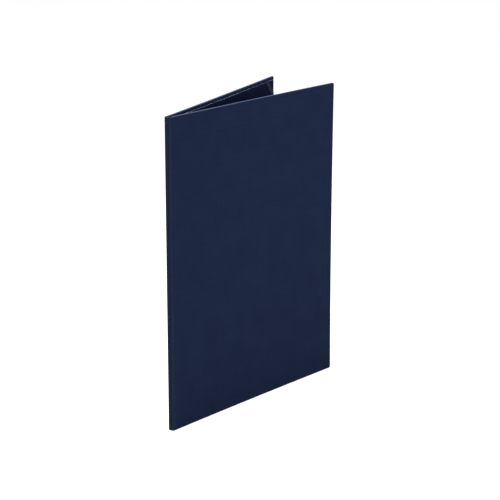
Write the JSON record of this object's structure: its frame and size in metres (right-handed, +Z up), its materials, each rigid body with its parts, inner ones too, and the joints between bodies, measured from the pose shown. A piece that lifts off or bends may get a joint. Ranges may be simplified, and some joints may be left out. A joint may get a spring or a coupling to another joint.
{
  "type": "diploma cover",
  "caption": "Cloth-covered certificate holder that opens like a book: stiff leaves hinged on a narrow cloth spine, lined inside, with corner ribbons that hold a sheet.",
  "frame": {"origin": "centre of the bounding box in plan, on the surface that the bottom edges stand on", "axes": "+Z up along the folds, +X from the spine to the fore edges, +Y towards the back leaf"},
  "size_m": [0.2278, 0.0712, 0.292],
  "materials": {
    "cover_cloth": "matt navy book cloth with a fine weave",
    "board": "plain grey binder's board",
    "lining": "navy lining card with a pale cut edge",
    "ribbon": "dark navy satin ribbon"
  },
  "bodies": {
    "back_cover": {"back_cloth": "cover_cloth", "back_board": "board", "back_hinge_strip": "cover_cloth", "back_lining": "lining", "ribbon_top_outer": "ribbon", "ribbon_top_inner": "ribbon", "ribbon_bottom_outer": "ribbon", "ribbon_bottom_inner": "ribbon"},
    "spine": {"spine_cloth": "cover_cloth", "spine_strip": "cover_cloth"},
    "front_cover": {"front_cloth": "cover_cloth", "front_board": "board", "front_hinge_strip": "cover_cloth", "front_lining": "lining"}
  },
  "joints": [
    {"name": "back_hinge", "type": "hinge", "parent": "back_cover", "child": "spine", "pos_m": [-0.11307, 0.00344, 0], "axis": [0, 0, -1], "range_deg": [-7.2, 82.5]},
    {"name": "front_hinge", "type": "hinge", "parent": "spine", "child": "front_cover", "pos_m": [-0.11307, -0.00277, 0], "axis": [0, 0, -1], "range_deg": [-7.2, 82.5]}
  ]
}
